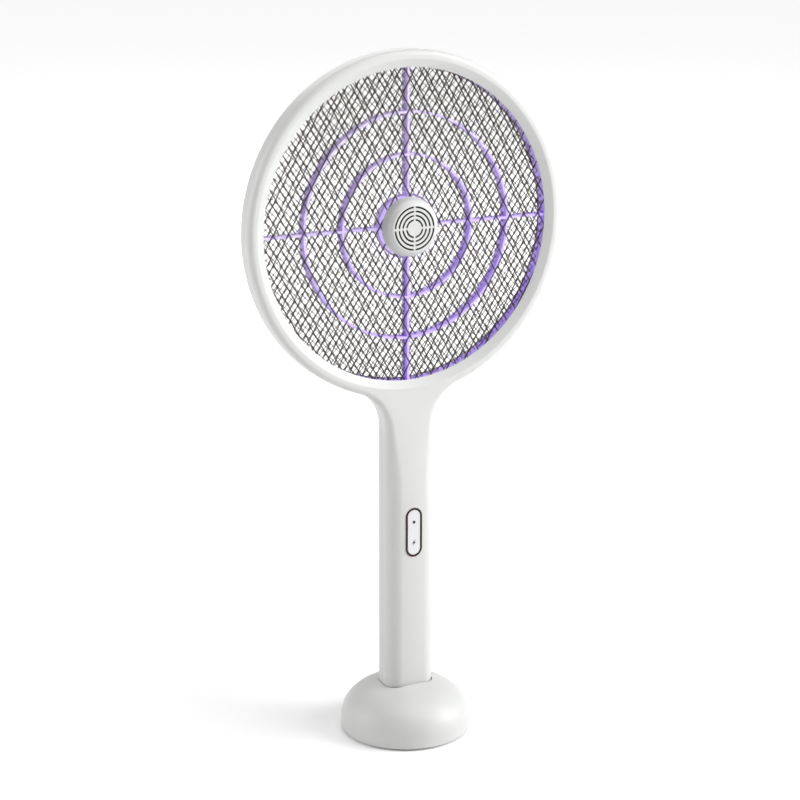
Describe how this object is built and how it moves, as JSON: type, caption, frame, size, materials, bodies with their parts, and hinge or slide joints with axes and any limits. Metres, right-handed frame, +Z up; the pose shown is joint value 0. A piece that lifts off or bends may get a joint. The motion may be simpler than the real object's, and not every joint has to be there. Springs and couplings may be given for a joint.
{
  "type": "electric fly swatter",
  "caption": "Rechargeable electric fly swatter: round three-layer net head with a lit centre hub, straight handle with a rocker key, standing in a domed charging dock.",
  "frame": {"origin": "centre of the dock's underside, on the surface it stands on", "axes": "+Z up along the handle, front of the swatter and its key towards -Y, +X to the right seen from the front"},
  "size_m": [0.22, 0.0856, 0.4501],
  "materials": {
    "casing_plastic": "satin white moulded plastic",
    "rib_plastic": "satin white moulded plastic",
    "net_wire": "dark plated steel wire",
    "electrode_wire": "bare steel wire",
    "steel": "zinc-plated steel",
    "bezel_metal": "rose-gold plated",
    "key_plastic": "satin white",
    "mark_ink": "dark grey inlay",
    "black_plastic": "matt black",
    "lens_plastic": "clear, lit violet",
    "led": "clear violet lamp",
    "board": "green solder mask",
    "chip": "black epoxy",
    "ferrite": "grey ferrite",
    "copper": "enamelled copper winding",
    "film": "dipped red-brown",
    "ceramic": "dipped blue",
    "cell_sleeve": "heat-shrunk green",
    "nickel": "nickel plated",
    "gold": "gold plated",
    "lead_sleeve": "insulated lead",
    "foot_rubber": "soft grey rubber"
  },
  "bodies": {
    "dock": {"dock_shell": "casing_plastic", "dock_base_plate": "casing_plastic", "dock_screws": "steel", "foot_ring": "foot_rubber", "dock_weight": "steel", "dock_board": "board", "usb_inlet": "nickel", "pin_barrels": "nickel", "pin_springs": "steel"},
    "contact_pin_left": {"contact_pin_left": "gold"},
    "contact_pin_right": {"contact_pin_right": "gold"},
    "swatter": {"front_cover": "casing_plastic", "rear_cover": "casing_plastic", "ring_screws": "steel", "handle_screws": "steel", "front_net": "net_wire", "rear_net": "net_wire", "electrode_net": "electrode_wire", "front_ribs": "rib_plastic", "rear_ribs": "rib_plastic", "hub_front_cap": "casing_plastic", "hub_rear_cap": "casing_plastic", "grille_backing": "black_plastic", "lamp_lens": "lens_plastic", "lamp_board": "black_plastic", "uv_leds": "led", "button_bezel": "bezel_metal", "key_pivot": "steel", "main_board": "board", "tact_switches": "black_plastic", "transformer_core": "ferrite", "transformer_coil": "copper", "film_capacitor": "film", "rectifier_diodes": "chip", "doubler_capacitors": "ceramic", "control_chip": "chip", "battery_cell": "cell_sleeve", "battery_contacts": "nickel", "battery_leads": "lead_sleeve", "charge_leads": "lead_sleeve", "net_leads": "lead_sleeve", "lamp_leads": "lead_sleeve", "end_cap": "casing_plastic", "charge_pads": "gold"},
    "key": {"switch_key": "key_plastic", "key_marks": "mark_ink"}
  },
  "joints": [
    {"name": "lift_off", "type": "slide", "parent": "dock", "child": "swatter", "axis": [0, 0, 1], "range_m": [0, 0.06]},
    {"name": "key_rock", "type": "hinge", "parent": "swatter", "child": "key", "pos_m": [0, -0.0076, 0.1402], "axis": [1, 0, 0], "range_deg": [-2.5, 2.5], "stiffness_Nm_per_rad": 0.3},
    {"name": "left_pin_press", "type": "slide", "parent": "dock", "child": "contact_pin_left", "axis": [0, 0, 1], "range_m": [-0.001, 0], "stiffness_N_per_m": 400, "springref_m": 0.001},
    {"name": "right_pin_press", "type": "slide", "parent": "dock", "child": "contact_pin_right", "axis": [0, 0, 1], "range_m": [-0.001, 0], "stiffness_N_per_m": 400, "springref_m": 0.001}
  ]
}
